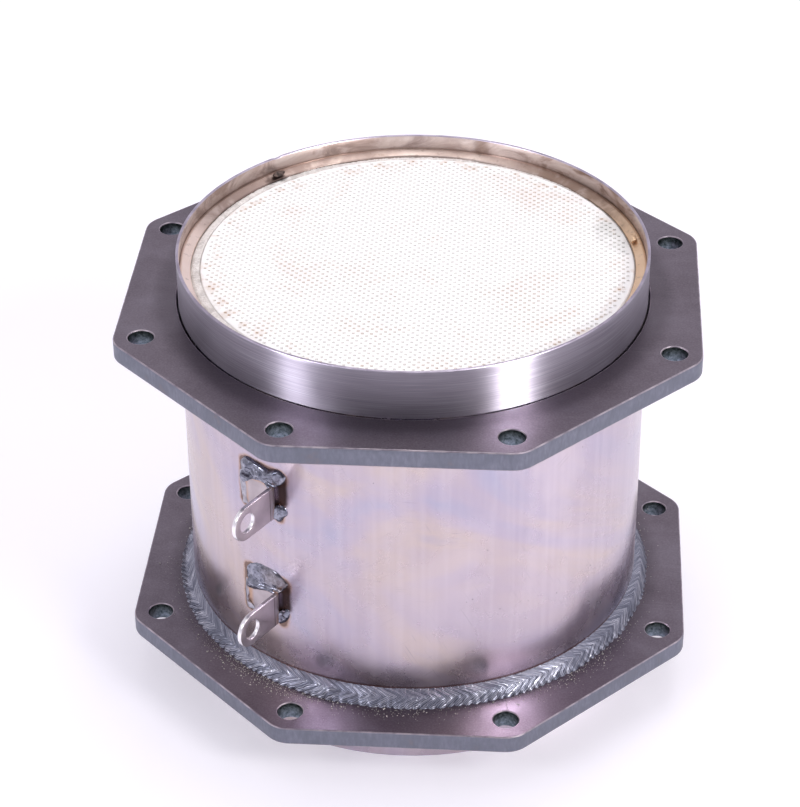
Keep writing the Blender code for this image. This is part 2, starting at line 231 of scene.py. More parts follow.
class Finish(Nodes):
    """A material in the making. Its tone is the colour so far, which coats change."""

    def __init__(self, name, metallic):
        self.material = bpy.data.materials.new(name)
        self.material.use_nodes = True
        super().__init__(self.material.node_tree)
        self.shader = self.tree.nodes["Principled BSDF"]
        self.set("Metallic", metallic)
        self.place = self.add("ShaderNodeTexCoord").outputs["Object"]
        self.tone = None

    def set(self, name, value):
        self.feed(self.shader.inputs[name], value)

    def lay(self, colour, share):
        """Mix a share of a colour into the tone."""
        self.tone = self.blend(share, self.tone, colour)

    def coat(self, colour, value, low, high, at_low=0, at_high=1):
        """Mix in a colour by a share that follows a value, as band gives it."""
        self.lay(colour, self.band(value, low, high, at_low, at_high))

    def done(self, roughness):
        self.set("Base Color", self.tone)
        self.set("Roughness", roughness)
        return self.material

    def unrolled(self, tilt=0):
        """Place on the can's wall as (round, up, 0), turned by a tilt in degrees."""
        parts = self.split(self.place)
        turn = self.math("ARCTAN2", parts["X"], self.math("MULTIPLY", parts["Y"], -1))
        around = self.math("MULTIPLY", turn, CAN_RADIUS)
        flat = self.add("ShaderNodeCombineXYZ", {"X": around, "Y": parts["Z"]}).outputs[0]
        feeds = {"Vector": flat, "Angle": radians(tilt)}
        return self.add("ShaderNodeVectorRotate", feeds, rotation_type="Z_AXIS").outputs[0]

    def noise(self, grain, detail=3, stretch=(1, 1, 1), distortion=0, rough=0.5,
              place=None):
        """Noise with a grain in millimetres, drawn out along the axes by stretch."""
        shrink = tuple(1 / (grain * MM * factor) for factor in stretch)
        spot = self.vector("MULTIPLY", place or self.place, shrink)
        return self.add("ShaderNodeTexNoise", {
            "Vector": spot, "Scale": 1, "Detail": detail, "Roughness": rough,
            "Distortion": distortion,
        }).outputs[0]

    def cells(self, grain):
        feeds = {"Vector": self.place, "Scale": 1 / (grain * MM)}
        return self.add("ShaderNodeTexVoronoi", feeds).outputs["Distance"]

    def colours(self, value, *stops):
        """Colour ramp through (position, colour) stops."""
        node = self.add("ShaderNodeValToRGB", {"Fac": value})
        ramp = node.color_ramp
        while len(ramp.elements) < len(stops):
            ramp.elements.new(0.5)
        for element, (position, colour) in zip(ramp.elements, stops):
            element.position = position
            element.color = (*colour, 1)
        return node.outputs["Color"]

    def shaken(self, gap, wobble, grain):
        """A distance made uneven by noise of a grain in millimetres."""
        uneven = self.math("SUBTRACT", self.noise(grain), 0.5)
        return self.math("ADD", gap, self.math("MULTIPLY", uneven, 2 * wobble))

    def distance_to(self, start, end, wobble=0, grain=4):
        """Distance in metres from a straight stretch, made uneven by noise."""
        run = end - start
        from_start = self.vector("SUBTRACT", self.place, start)
        share = self.vector("DOT_PRODUCT", from_start, run / run.length_squared)
        share = self.math("MINIMUM", self.math("MAXIMUM", share, 0), 1)
        nearest = self.add("ShaderNodeVectorMath", {0: run, "Scale": share}, operation="SCALE")
        gap = self.vector("LENGTH", self.vector("SUBTRACT", from_start, nearest.outputs["Vector"]))
        return self.shaken(gap, wobble, grain) if wobble else gap

    def off_upright(self, clock, wobble, grain=4):
        """Distance in metres from the upright line on the can at a clock angle."""
        return self.distance_to(can_point(clock, 0), can_point(clock, CAN_TOP), wobble, grain)

    def off_height(self, height):
        """Distance in metres above or below a height."""
        return self.math("ABSOLUTE", self.math("SUBTRACT", self.split(self.place)["Z"], height))

    def past_radius(self, radius, centre=(0, 0, 0)):
        """Distance in metres outside a radius round the upright line through a centre."""
        off_centre = self.vector("SUBTRACT", self.place, centre)
        flat = self.vector("MULTIPLY", off_centre, (1, 1, 0))
        return self.math("SUBTRACT", self.vector("LENGTH", flat), radius)

    def off_lug_welds(self):
        """Distance in metres from the outline of the nearest bead round the lugs."""
        nearest = None
        for height in LUG_HEIGHTS.values():
            for start, end, half_width in lug_weld_runs(height):
                gap = self.math("SUBTRACT", self.distance_to(start, end), half_width)
                nearest = self.math("MINIMUM", nearest, gap) if nearest else gap
        return self.shaken(nearest, 0.8 * MM, 4)

    def to_soot(self):
        """Distance in metres from the sooty tack on the upper ring."""
        height = (RING_LOW.z + RING_HIGH.z) / 2
        ends = [can_point(SOOT_CLOCK + swing, height, RING_BORE + 1 * MM) for swing in (-1.6, 1.6)]
        return self.distance_to(*ends, 1.6 * MM, 2)

    def old_stain(self, colour, clock, reach, uneven, wobble, grain):
        """Stain that fades out at a reach from an upright line, thinner where it is uneven."""
        near = self.band(self.off_upright(clock, wobble, grain), 0.4 * reach, reach, 1, 0)
        self.lay(colour, self.math("MULTIPLY", near, uneven))

    def bump(self, height, depth):
        """Bump of a 0 to 1 height, with its depth in millimetres, over any earlier bump."""
        node = self.add("ShaderNodeBump", {"Height": height, "Distance": depth * MM, "Strength": 1})
        earlier = self.shader.inputs["Normal"]
        if earlier.is_linked:
            self.feed(node.inputs["Normal"], earlier.links[0].from_socket)
        self.set("Normal", node.outputs["Normal"])


def can_point(clock, height, radius=CAN_RADIUS):
    """Point at a clock angle and a height, on the wall or at a given radius."""
    return Vector((-sin(radians(clock)) * radius, -cos(radians(clock)) * radius, height))


def clock_direction(clock):
    return can_point(clock, 0, 1)


def clock_tangent(clock):
    """Unit vector round the can, towards a growing clock angle."""
    return Vector((-cos(radians(clock)), sin(radians(clock)), 0))


def lug_clock(along):
    """Clock angle at a distance round the can from the lugs' own clock line."""
    return LUG_CLOCK + degrees(along / CAN_RADIUS)


def lug_weld_runs(height):
    """The three bead routes round one lug, as (start, end, half width)."""
    top = height + 11 * MM
    return (
        (can_point(39.6, top), can_point(29.6, top), 3.3 * MM),
        (can_point(40.6, top), can_point(40.6, height - 7.5 * MM), 2.5 * MM),
        (can_point(29.6, height - 4 * MM), can_point(30.2, height - 8.5 * MM), 1.9 * MM),
    )


# --- Materials ---

def cold_rolled_finish():
    """Outer wall: smooth rolled sheet with lilac, pink and straw tints, fine grain, scuffs."""
    steel = Finish("cold_rolled_wall", 1)
    drift = steel.noise(48, 4, distortion=1.2, place=steel.unrolled(28),
                        stretch=(2.2, 1, 1))
    steel.tone = steel.colours(
        drift,
        (0.30, (0.42, 0.41, 0.53)), (0.42, (0.48, 0.42, 0.505)), (0.50, (0.51, 0.435, 0.485)),
        (0.60, (0.56, 0.465, 0.445)), (0.72, (0.465, 0.415, 0.485)),
    )
    cloud = steel.noise(30, 5, rough=0.6)
    steel.coat((0.66, 0.59, 0.64), cloud, 0.38, 0.68, 0, 0.22)
    streaks = steel.noise(3, 2, stretch=(1, 1, 30))
    steel.coat((0.72, 0.65, 0.70), streaks, 0.35, 0.75, 0, 0.16)
    for tilt, grain in ((62, 0.55), (-34, 0.42), (4, 0.35)):
        scuff = steel.noise(grain, 1, stretch=(34, 1, 1), place=steel.unrolled(tilt))
        patch = steel.band(steel.noise(23 + tilt / 4), 0.50, 0.62)
        share = steel.math("MULTIPLY", steel.band(scuff, 0.66, 0.74, 0, 0.45), patch)
        steel.lay((0.36, 0.32, 0.36), share)
    speck = steel.band(steel.cells(5.5), 0.035, 0.06, 1, 0)
    patchy = steel.band(steel.noise(40), 0.52, 0.6)
    steel.lay((0.20, 0.18, 0.20), steel.math("MULTIPLY", speck, patchy))
    gap = steel.off_lug_welds()
    steel.coat((0.46, 0.29, 0.19), gap, 0.4 * MM, 1.9 * MM, 0.6, 0)
    steel.coat((0.14, 0.085, 0.07), gap, 0, 0.8 * MM, 0.8, 0)
    # Painted shade, with some heat tint: a dark band on the wall in the crevice beside each lug's tab.
    for height in LUG_HEIGHTS.values():
        crevice = [can_point(SCORCH_AND_SHADE_CLOCK, height), can_point(SCORCH_AND_SHADE_CLOCK, height + 9 * MM)]
        scorch_and_shade = steel.distance_to(*crevice, 0.6 * MM)
        steel.coat((0.055, 0.032, 0.026), scorch_and_shade, 1.2 * MM, 3.4 * MM, 0.95, 0)
    weld_toe = steel.shaken(steel.off_height(PLATES["lower"][1].z + FILLET_LEG), 0.5 * MM, 6)
    steel.coat((0.20, 0.10, 0.085), weld_toe, 0.5 * MM, 1.5 * MM, 0.85, 0)
    steel.bump(steel.noise(5, 1, stretch=(1, 1, 9)), 0.006)
    return steel.done(steel.band(cloud, 0.3, 0.72, 0.22, 0.34))


def collar_finish():
    """Machined band above the upper plate: satin grooves that run round the can."""
    steel = Finish("brushed_collar", 1)
    grooves = steel.noise(0.35, 4, stretch=(90, 90, 1))
    steel.tone = steel.colours(
        grooves, (0.30, (0.27, 0.245, 0.29)), (0.55, (0.34, 0.315, 0.365)),
        (0.75, (0.44, 0.415, 0.475))
    )
    wide = steel.noise(2.2, 2, stretch=(14, 14, 1))
    steel.coat((0.27, 0.24, 0.285), wide, 0.3, 0.7, 0, 0.3)
    steel.set("Anisotropic", 0.95)
    steel.set("Anisotropic Rotation", 0.25)
    around = steel.add("ShaderNodeTangent", direction_type="RADIAL", axis="Z")
    steel.set("Tangent", around.outputs[0])
    steel.bump(grooves, 0.003)
    return steel.done(steel.band(steel.noise(18), 0.3, 0.7, 0.34, 0.40))


def plain_finish(name, metallic, patches, stops, roughness, skin):
    """Two-tone metal: patches is (grain, detail), and skin is (grain, detail, depth)."""
    steel = Finish(name, metallic)
    steel.tone = steel.colours(steel.noise(*patches), *stops)
    steel.bump(steel.noise(*skin[:2]), skin[2])
    return steel.done(roughness)


def sooted_finish():
    """Inner wall: fired tan and brown stain, with a dark line at the seam and a soot patch."""
    steel = Finish("fired_inner_wall", 0.85)
    mottle = steel.noise(11, 7, stretch=(1.6, 1.6, 0.8), distortion=0.8, rough=0.62)
    steel.tone = steel.colours(
        mottle,
        (0.33, (0.24, 0.18, 0.165)), (0.45, (0.45, 0.365, 0.34)),
        (0.55, (0.60, 0.50, 0.465)), (0.67, (0.74, 0.65, 0.61)),
    )
    for clock, reach, share, colour in (
        (-128, 62 * MM, 0.85, (0.17, 0.105, 0.075)), (128, 105 * MM, 0.9, (0.19, 0.14, 0.125))
    ):
        uneven = steel.band(mottle, 0.42, 0.56, share, 0.55 * share)
        steel.old_stain(colour, clock, reach, uneven, 6 * MM, 14)
    steel.coat((0.30, 0.21, 0.17), steel.noise(34, 3), 0.42, 0.62, 0, 0.4)
    steel.coat((0.24, 0.16, 0.12), steel.off_height(RING_HIGH.z), 0.1 * MM, 0.8 * MM, 0.25, 0)
    seam = steel.off_upright(SEAM_CLOCK, 1.2 * MM)
    steel.coat((0.15, 0.08, 0.05), seam, 0.8 * MM, 5.5 * MM, 0.62, 0)
    steel.coat((0.08, 0.05, 0.042), steel.to_soot(), 1 * MM, 5 * MM, 0.7, 0)
    steel.bump(steel.noise(1.6, 5), 0.05)
    return steel.done(steel.band(mottle, 0.3, 0.7, 0.52, 0.32))


def mill_scale_finish():
    """Plate faces: dark hot-rolled skin, with faint blotches, grain and rubbed marks."""
    steel = Finish("mill_scale", 0.92)
    blotch = steel.noise(26, 6, rough=0.6, distortion=0.3)
    steel.tone = steel.colours(
        blotch,
        (0.30, (0.125, 0.103, 0.125)), (0.50, (0.160, 0.135, 0.163)), (0.72, (0.205, 0.180, 0.215)),
    )
    grain = steel.noise(0.8, 3)
    steel.coat((0.30, 0.26, 0.30), grain, 0.35, 0.75, 0, 0.3)
    steel.coat((0.06, 0.045, 0.055), steel.cells(2.6), 0.05, 0.10, 0.6, 0)
    heated = steel.shaken(steel.past_radius(CAN_RADIUS), 2 * MM, 9)
    steel.coat((0.062, 0.050, 0.062), heated, 6 * MM, 13 * MM, 0.45, 0)
    rub = steel.noise(1.2, 2, stretch=(22, 1.5, 1))
    steel.coat((0.42, 0.38, 0.42), rub, 0.64, 0.76, 0, 0.08)
    steel.bump(grain, 0.012)
    steel.bump(steel.noise(9), 0.03)
    return steel.done(steel.band(blotch, 0.3, 0.7, 0.40, 0.32))


def cut_edge_finish():
    """Cut side of a plate: blue-grey, with faint drag lines across its thickness."""
    steel = Finish("cut_edge", 0.8)
    drag = steel.noise(1.2, 3, stretch=(1, 1, 3))
    steel.tone = steel.colours(
        drag, (0.30, (0.165, 0.172, 0.215)), (0.52, (0.190, 0.197, 0.245)),
        (0.75, (0.225, 0.230, 0.280))
    )
    patch = steel.noise(13, 6, rough=0.65)
    steel.coat((0.165, 0.175, 0.215), patch, 0.36, 0.66, 0, 0.6)
    steel.coat((0.26, 0.20, 0.20), patch, 0.60, 0.74, 0, 0.4)
    steel.bump(drag, 0.02)
    return steel.done(steel.band(patch, 0.3, 0.7, 0.42, 0.52))


def hole_wall_finish():
    """Drilled bolt hole, mottled: painted shade makes it dark at the top, and a painted reflection of
    the glowing floor makes it brighter blue-grey towards the bottom.
    """
    steel = Finish("drilled_wall", 0.85)
    mottle = steel.noise(1.5, 5, rough=0.65)
    dark = steel.colours(mottle, (0.36, (0.010, 0.016, 0.014)), (0.66, (0.10, 0.12, 0.118)))
    light = steel.colours(mottle, (0.36, (0.06, 0.085, 0.10)), (0.66, (0.24, 0.28, 0.35)))
    # Painted light: shade at the top of each hole, and a reflection of the glowing floor towards its
    # bottom.
    height = steel.split(steel.place)["Z"]
    upper, lower = (steel.band(height, *(corner.z for corner in PLATES[side]), 1, 0)
                    for side in ("upper", "lower"))
    above = steel.math("GREATER_THAN", height, CAN_TOP / 2)
    share = steel.math("MINIMUM", upper, steel.math("MAXIMUM", lower, above))
    steel.tone = steel.blend(share, dark, light)
    steel.bump(mottle, 0.05)
    return steel.done(0.40)


def weld_metal_finish(name, dark, light, roughness, grain=2.2):
    """Bare weld metal: bright and dark patches, blue-grey, with a fine frozen skin."""
    steel = Finish(name, 1)
    patch = steel.noise(grain, 5, rough=0.65, distortion=0.5)
    middle = tuple((a + b) / 2 for a, b in zip(dark, light))
    steel.tone = steel.colours(patch, (0.32, dark), (0.50, middle), (0.68, light))
    steel.coat((0.30, 0.25, 0.24), steel.noise(19, 4), 0.52, 0.68, 0, 0.45)
    steel.bump(steel.noise(0.5, 4), 0.03)
    return steel.done(steel.band(patch, 0.3, 0.7, roughness + 0.14, roughness))


def fillet_finish():
    """Weld metal of the fillets, with fine chevron lines that point the way of welding; the lines are
    bumps, and they are also painted lighter along their crests as a highlight.
    """
    steel = Finish("fillet_metal", 1)
    reach = steel.past_radius(CAN_RADIUS)
    aside = steel.math("MULTIPLY", reach, 2 / FILLET_LEG)
    aside = steel.math("ABSOLUTE", steel.math("SUBTRACT", aside, 1))
    along = steel.split(steel.unrolled())["X"]
    along = steel.math("ADD", along, steel.math("MULTIPLY", aside, RIPPLE_SKEW))
    along = steel.shaken(steel.shaken(along, 1.8 * MM, 8), 0.7 * MM, 2.5)
    line = steel.math("SINE", steel.math("MULTIPLY", along, tau / FINE_RIPPLE))
    line = steel.band(line, -1, 1)
    arms = steel.add("ShaderNodeCombineXYZ", {"X": along, "Y": reach}).outputs[0]
    patch = steel.noise(1.9, 4, rough=0.6, stretch=(1, 3.5, 1), place=arms)
    # The fine lines' share paints a highlight along the ripple crests; the patches are the metal's own
    # uneven tone.
    crest_highlight_and_patches = steel.math("ADD", steel.math("MULTIPLY", line, 0.2), steel.math("MULTIPLY", patch, 0.8))
    steel.tone = steel.colours(
        crest_highlight_and_patches, (0.30, (0.085, 0.092, 0.13)), (0.48, (0.20, 0.208, 0.265)),
        (0.60, (0.40, 0.405, 0.485)), (0.72, (0.76, 0.76, 0.84)),
    )
    steel.coat((0.20, 0.215, 0.27), steel.noise(24, 4), 0.50, 0.66, 0, 0.35)
    steel.bump(line, 0.06)
    steel.bump(steel.noise(0.5, 4), 0.03)
    return steel.done(steel.band(patch, 0.3, 0.7, 0.42, 0.27))


def ceramic_finish(name, light, warm, edge_stain):
    """Fired ceramic, tinted warm in places and stained towards the block's rim."""
    body = Finish(name, 0)
    smudge = body.noise(30, 5, rough=0.6, distortion=0.4)
    body.tone = body.blend(body.band(smudge, 0.50, 0.70), light, warm)
    right = body.distance_to(
        Vector((BLOCK_HIGH.x - 4 * MM, 22 * MM, BLOCK_HIGH.z)),
        Vector((BLOCK_HIGH.x - 9 * MM, 36 * MM, BLOCK_HIGH.z)), 9 * MM, 9,
    )
    body.coat((0.52, 0.52, 0.49), right, 1 * MM, 12 * MM, 0.5, 0)
    spots = body.band(body.noise(7, 4), 0.52, 0.66)
    reach = body.past_radius(BLOCK_RADIUS, BLOCK_SHIFT)
    near_rim = body.band(reach, -12 * MM, -2 * MM, 0, 0.75)
    body.lay(edge_stain, body.math("MULTIPLY", near_rim, spots))
    body.set("Specular IOR Level", 0.25)
    body.bump(body.noise(0.5, 4), 0.03)
    return body.done(0.88)


def fibre_finish(name, dark, light):
    """Pressed or braided ceramic fibre."""
    fibre = Finish(name, 0)
    strands = fibre.noise(0.7, 5, stretch=(3, 3, 1), distortion=1.5, rough=0.7)
    fibre.tone = fibre.colours(strands, (0.32, dark), (0.66, light))
    clump = tuple(0.75 * channel for channel in dark)
    fibre.coat(clump, fibre.noise(5, 4), 0.45, 0.65, 0, 0.6)
    fibre.coat((0.05, 0.035, 0.03), fibre.to_soot(), 1.2 * MM, 3.4 * MM, 0.9, 0)
    fibre.set("Sheen Weight", 0.2)
    fibre.bump(strands, 0.3)
    return fibre.done(0.95)


def fired_ring_finish():
    """Retaining ring: stainless fired to straw and tan, amber towards its right side, and paler at its
    left side, a painted highlight where the key light falls.
    """
    steel = Finish("fired_ring", 0.9)
    mottle = steel.noise(15, 6, rough=0.62, distortion=0.4)
    steel.tone = steel.colours(
        mottle,
        (0.30, (0.40, 0.31, 0.275)), (0.50, (0.53, 0.43, 0.385)), (0.70, (0.66, 0.57, 0.52)),
    )
    right = steel.distance_to(Vector((RING_BORE, 6 * MM, RING_LOW.z)),
                              Vector((RING_BORE, 6 * MM, RING_HIGH.z)), 5 * MM, 12)
    steel.coat((0.82, 0.58, 0.36), right, 20 * MM, 70 * MM, 0.8, 0)
    for clock, reach, share, colour in (
        (-131, 48 * MM, 0.7, (0.25, 0.165, 0.12)), (128, 72 * MM, 0.75, (0.29, 0.215, 0.19))
    ):
        uneven = steel.band(mottle, 0.44, 0.58, 1.15 * share, 0.5 * share)
        steel.old_stain(colour, clock, reach, uneven, 4 * MM, 12)
    # Painted light: a paler patch on the ring's left side, which faces the key light.
    left = Vector((-CAN_BORE, -8 * MM, 0))
    pale = steel.distance_to(left, left + UP * CAN_TOP)
    steel.coat((0.90, 0.74, 0.66), pale, 20 * MM, 44 * MM, 0.85, 0)
    fleck = steel.noise(3.2, 5, rough=0.65)
    steel.coat((0.26, 0.185, 0.15), fleck, 0.56, 0.70, 0, 0.45)
    steel.coat((0.07, 0.042, 0.036), steel.to_soot(), 0.4 * MM, 3.6 * MM, 0.85, 0)
    steel.bump(steel.noise(1.2, 4), 0.03)
    return steel.done(steel.band(mottle, 0.3, 0.7, 0.42, 0.30))


def strip_finish():
    """Lug strip: pale stainless with a faint grain along the tab."""
    steel = Finish("lug_strip", 1)
    steel.tone = steel.colours(
        steel.noise(9, 4), (0.32, (0.43, 0.375, 0.395)), (0.68, (0.56, 0.495, 0.515))
    )
    # Painted shade: a thin dark line along the bend line across the tab, where the crease shows.
    crease = steel.math("ABSOLUTE", steel.past_radius(CREASE_RADIUS))
    steel.coat((0.12, 0.09, 0.08), crease, 0.10 * MM, 0.34 * MM, 0.8, 0)
    steel.coat((0.56, 0.34, 0.21), steel.off_lug_welds(), 0.4 * MM, 2.6 * MM, 0.75, 0)
    steel.bump(steel.noise(0.4, 2, stretch=(6, 6, 1)), 0.004)
    return steel.done(steel.band(steel.noise(3, 3), 0.3, 0.7, 0.36, 0.46))


# --- Mesh helpers ---

def add_piece(name, mesh, finishes, replaced=(), sharp=80):
    """Link a mesh, with finishes given by name, as a piece that rides on the one body."""
    mesh.shade_smooth()
    mesh.set_sharp_from_angle(angle=radians(sharp))
    for finish in finishes:
        mesh.materials.append(FINISHES[finish])
    piece = bpy.data.objects.new(name, mesh)
    bpy.context.scene.collection.objects.link(piece)
    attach(piece, "root")
    if replaced:
        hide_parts(*replaced)
    return piece


def mesh_of(shape, name):
    """New mesh of a bmesh, which is then freed."""
    mesh = bpy.data.meshes.new(name)
    shape.to_mesh(mesh)
    shape.free()
    return mesh


def belt(shape, upper, lower, material=0):
    """Add a closed belt of faces between two loops of vertices."""
    for i in range(len(upper)):
        face = shape.faces.new((upper[i - 1], upper[i], lower[i], lower[i - 1]))
        face.material_index = material


def lattice(name, rows, close_rows=True, close_columns=True, row_materials=None, caps=False):
    """Mesh of quads over rows of points; every row has the same number of points."""
    points = np.asarray(rows, dtype=float)
    row_count, column_count = points.shape[:2]
    faces, indices = [], []
    for row in range(row_count if close_rows else row_count - 1):
        this, above = row * column_count, (row + 1) % row_count * column_count
        for column in range(column_count if close_columns else column_count - 1):
            beside = (column + 1) % column_count
            faces.append((this + column, this + beside, above + beside, above + column))
            indices.append(row_materials[row] if row_materials else 0)
    if caps:
        starts = range(0, row_count * column_count, column_count)
        faces += [list(starts), [start + column_count - 1 for start in starts]]
        indices += [0, 0]
    mesh = bpy.data.meshes.new(name)
    mesh.from_pydata(points.reshape(-1, 3).tolist(), [], faces)
    mesh.polygons.foreach_set("material_index", indices)
    shape = bmesh.new()
    shape.from_mesh(mesh)
    bmesh.ops.recalc_face_normals(shape, faces=shape.faces)
    shape.to_mesh(mesh)
    shape.free()
    return mesh


def clocks(count):
    """Evenly spaced clock angles, all the way round."""
    return [360 * step / count for step in range(count)]


def turned(name, levels, columns, place, **settings):
    """Lattice of the points that place(level, clock) gives, all the way round the can."""
    rows = [[place(level, clock) for clock in clocks(columns)] for level in levels]
    return lattice(name, rows, **settings)


def spread(low, high, spacing):
    """Evenly spaced values from low to high, at most a spacing apart."""
    count = max(1, ceil(abs(high - low) / spacing))
    return [low + (high - low) * step / count for step in range(count + 1)]


def ripple(*place):
    """Smooth noise of about -1 to 1 at a place given in grains."""
    return noise.noise(Vector(place))


def ring_ripple(clock, grain, level):
    """Smooth noise round the can, with a grain in metres, at a level given in grains."""
    across, ahead = sin(radians(clock)), cos(radians(clock))
    return ripple(across * CAN_RADIUS / grain, ahead * CAN_RADIUS / grain, level)


def mouths(height):
    """Both ends of the can as (side, height, direction), for a height at the upper one."""
    return ("upper", height, 1), ("lower", CAN_TOP - height, -1)


# --- Can ---

WALL_WAVE = 0.13 * MM
RIM_ROUND = 0.35 * MM
NOTCH_CLOCK, NOTCH_DEPTH, NOTCH_WIDTH = 138.5, 0.7 * MM, 1.1 * MM


def wall_wave(clock, height):
    """Slow radial unevenness of the rolled wall."""
    x, y, z = can_point(clock, height)
    slow = ripple(x / 0.055, y / 0.055, z / 0.085)
    fine = ripple(x / 0.021 + 7, y / 0.021, z / 0.034)
    return WALL_WAVE * (slow + 0.28 * fine)


def can_section():
    """Closed section as (radius, height, material): wall 0, collar 1, rim 2, inside 3."""
    edge, plate_top = RIM_ROUND, PLATES["upper"][1].z
    rim = [(CAN_RADIUS, edge), (CAN_RADIUS - 0.3 * edge, 0.3 * edge), (CAN_RADIUS - edge, 0),
           (CAN_BORE + edge, 0), (CAN_BORE + 0.3 * edge, 0.3 * edge)]
    section = [(CAN_RADIUS, height, 0) for height in spread(edge, plate_top, 2.4 * MM)[:-1]]
    section += [(CAN_RADIUS, height, 1) for height in spread(plate_top, CAN_TOP - edge, 1.5 * MM)[:-1]]
    section += [(radius, CAN_TOP - drop, 2) for radius, drop in rim]
    section += [(CAN_BORE, height, 3) for height in spread(CAN_TOP - edge, edge, 3 * MM)]
    section += [(radius, rise, 2) for radius, rise in reversed(rim[1:])]
    return section


def make_can():
    section = can_section()

    def place(level, clock):
        radius, height, _ = level
        away = radians(clock - NOTCH_CLOCK) * CAN_RADIUS / NOTCH_WIDTH
        notch = NOTCH_DEPTH * exp(-away ** 2 - ((CAN_TOP - height) / (1.5 * MM)) ** 2)
        return can_point(clock, height - notch, radius + wall_wave(clock, height))

    indices = [index for _, _, index in section]
    mesh = turned("can_body", section, 360, place, row_materials=indices)
    finishes = ("wall", "collar", "rim", "inside")
    return add_piece("can_body", mesh, finishes, ["can_shell"], 60)


# --- Plates ---

EDGE_ROUND = 0.45 * MM
DRAG_LINE = 0.02 * MM


def heading(angle):
    """Unit vector at an angle in radians from +X."""
    return Vector((cos(angle), sin(angle), 0))


def octagon_points(spacing):
    """Points and outward normals along a corner-rounded octagon."""
    turn = tau / 8
    half_side = (PLATE_APOTHEM - PLATE_CORNER) * tan(turn / 2)
    points = []
    for side in range(8):
        facing = side * turn
        normal, along = heading(facing), heading(facing + pi / 2)
        for reach in spread(-half_side, half_side, spacing)[:-1]:
            points.append((normal * PLATE_APOTHEM + along * reach, normal))
        centre = normal * (PLATE_APOTHEM - PLATE_CORNER) + along * half_side
        for angle in spread(facing, facing + turn, spacing / PLATE_CORNER)[:-1]:
            points.append((centre + heading(angle) * PLATE_CORNER, heading(angle)))
    return points


def circle_points(centre, radius, count):
    """Points of a hole's wall, with normals that point into the hole."""
    ways = [heading(tau * step / count) for step in range(count)]
    return [(centre + way * radius, -way) for way in ways]


def plate_wall(shape, loop, low, high, material, roughen):
    """Add a side wall with rounded edges to a bmesh; returns its top and bottom edge loops."""
    edge = EDGE_ROUND
    levels = [(edge, high), (0.3 * edge, high - 0.3 * edge)]
    levels += [(0, height) for height in spread(high - edge, low + edge, 2 * MM)]
    levels += [(0.3 * edge, low + 0.3 * edge), (edge, low)]
    rings = []
    for number, (inset, height) in enumerate(levels):
        rough = roughen if 2 < number < len(levels) - 3 else 0
        ring = []
        for count, (point, normal) in enumerate(loop):
            drag = rough * ripple(count * 0.9, height / (9 * MM), low / MM)
            ring.append(shape.verts.new(point + normal * (drag - inset) + UP * height))
        rings.append(ring)
    for number, (upper, lower) in enumerate(zip(rings, rings[1:])):
        worn = number < 2 or number > len(rings) - 4
        belt(shape, upper, lower, 2 if worn else material)
    return [
        [shape.edges.get((ring[i - 1], ring[i])) for i in range(len(ring))]
        for ring in (rings[0], rings[-1])
    ]


def make_plate(side):
    low, high = (corner.z for corner in PLATES[side])
    shape = bmesh.new()
    loops = [(octagon_points(1.1 * MM), 1, DRAG_LINE)]
    loops.append((circle_points(Vector(), PLATE_BORE, 240), 1, 0))
    for corner in range(8):
        centre = heading(tau * (corner + 0.5) / 8) * BOLT_CIRCLE
        loops.append((circle_points(centre, BOLT_HOLE, 48), 3, 0))
    faces_edges = [[], []]
    for loop, material, roughen in loops:
        for collected, edges in zip(faces_edges, plate_wall(shape, loop, low, high, material, roughen)):
            collected += edges
    for edges in faces_edges:
        bmesh.ops.triangle_fill(shape, use_beauty=True, edges=edges)
    bmesh.ops.recalc_face_normals(shape, faces=shape.faces)
    mesh = mesh_of(shape, side + "_plate")
    finishes = ("plate", "cut_edge", "worn_edge", "hole")
    add_piece(side + "_plate", mesh, finishes, [side + "_flange"], 50)
    for face in mesh.polygons:
        if face.material_index == 0:
            face.use_smooth = False


# --- Welds ---

SMOOTH_STRETCHES = ((2, 7), (-128, 9), (156, 8))  # (clock, half width in degrees)
STOP_CLOCKS = (16.7, 93, -95, 178)  # where the welder stopped and began again
# Groups of spatter, as (middle clock, spread in degrees, count of drops).
SPATTER = ((36, 13, 520), (-42, 15, 320), (5, 16, 200), (70, 20, 90),
           (-150, 50, 140))


def clock_gap(clock, other):
    """Degrees between two clock angles, the short way round."""
    return abs((clock - other + 180) % 360 - 180)


def ripple_phase(clock, across, seed):
    """Count of ripples up to a place on the fillet, across from the can (0) to the plate (1)."""
    along = -radians(clock) * CAN_RADIUS
    wander = 1.5 * MM * ring_ripple(clock, 11 * MM, seed)
    wander += 0.9 * MM * ring_ripple(clock, 5 * MM, seed + 1.2 * across)
    sideways = 0.12 * ring_ripple(clock, 16 * MM, seed + 4)
    trail = RIPPLE_SKEW * (hypot(2 * (across + sideways) - 1, 0.14) - 0.14)
    return (along + trail + wander) / RIPPLE_SPACING


def fillet_height(clock, across, seed):
    """Height of the fillet's ripples, lumps and unevenness at a place."""
    phase = ripple_phase(clock, across, seed)
    share = phase % 1
    crest = share ** 1.4 * (1 - max(0, (share - 0.74) / 0.26) ** 1.5)
    fine = (2 * phase) % 1
    rough = 0.75 + 0.7 * ring_ripple(clock, 12 * MM, seed + 9)
    for middle, half in SMOOTH_STRETCHES:
        rough *= 1 - 0.7 * exp(-(clock_gap(clock, middle + seed) / half) ** 2)
    height = rough * (RIPPLE_DEPTH * (crest - 0.3) + 0.16 * MM * abs(fine - 0.5))
    height += 0.34 * MM * ring_ripple(clock, 7 * MM, across * 2.2 + seed)
    for stop in STOP_CLOCKS:
        lump = exp(-(radians(clock_gap(clock, stop + seed)) * CAN_RADIUS / (3.2 * MM)) ** 2)
        height += 0.9 * MM * lump * (1 - (2 * across - 1) ** 2)
    return height


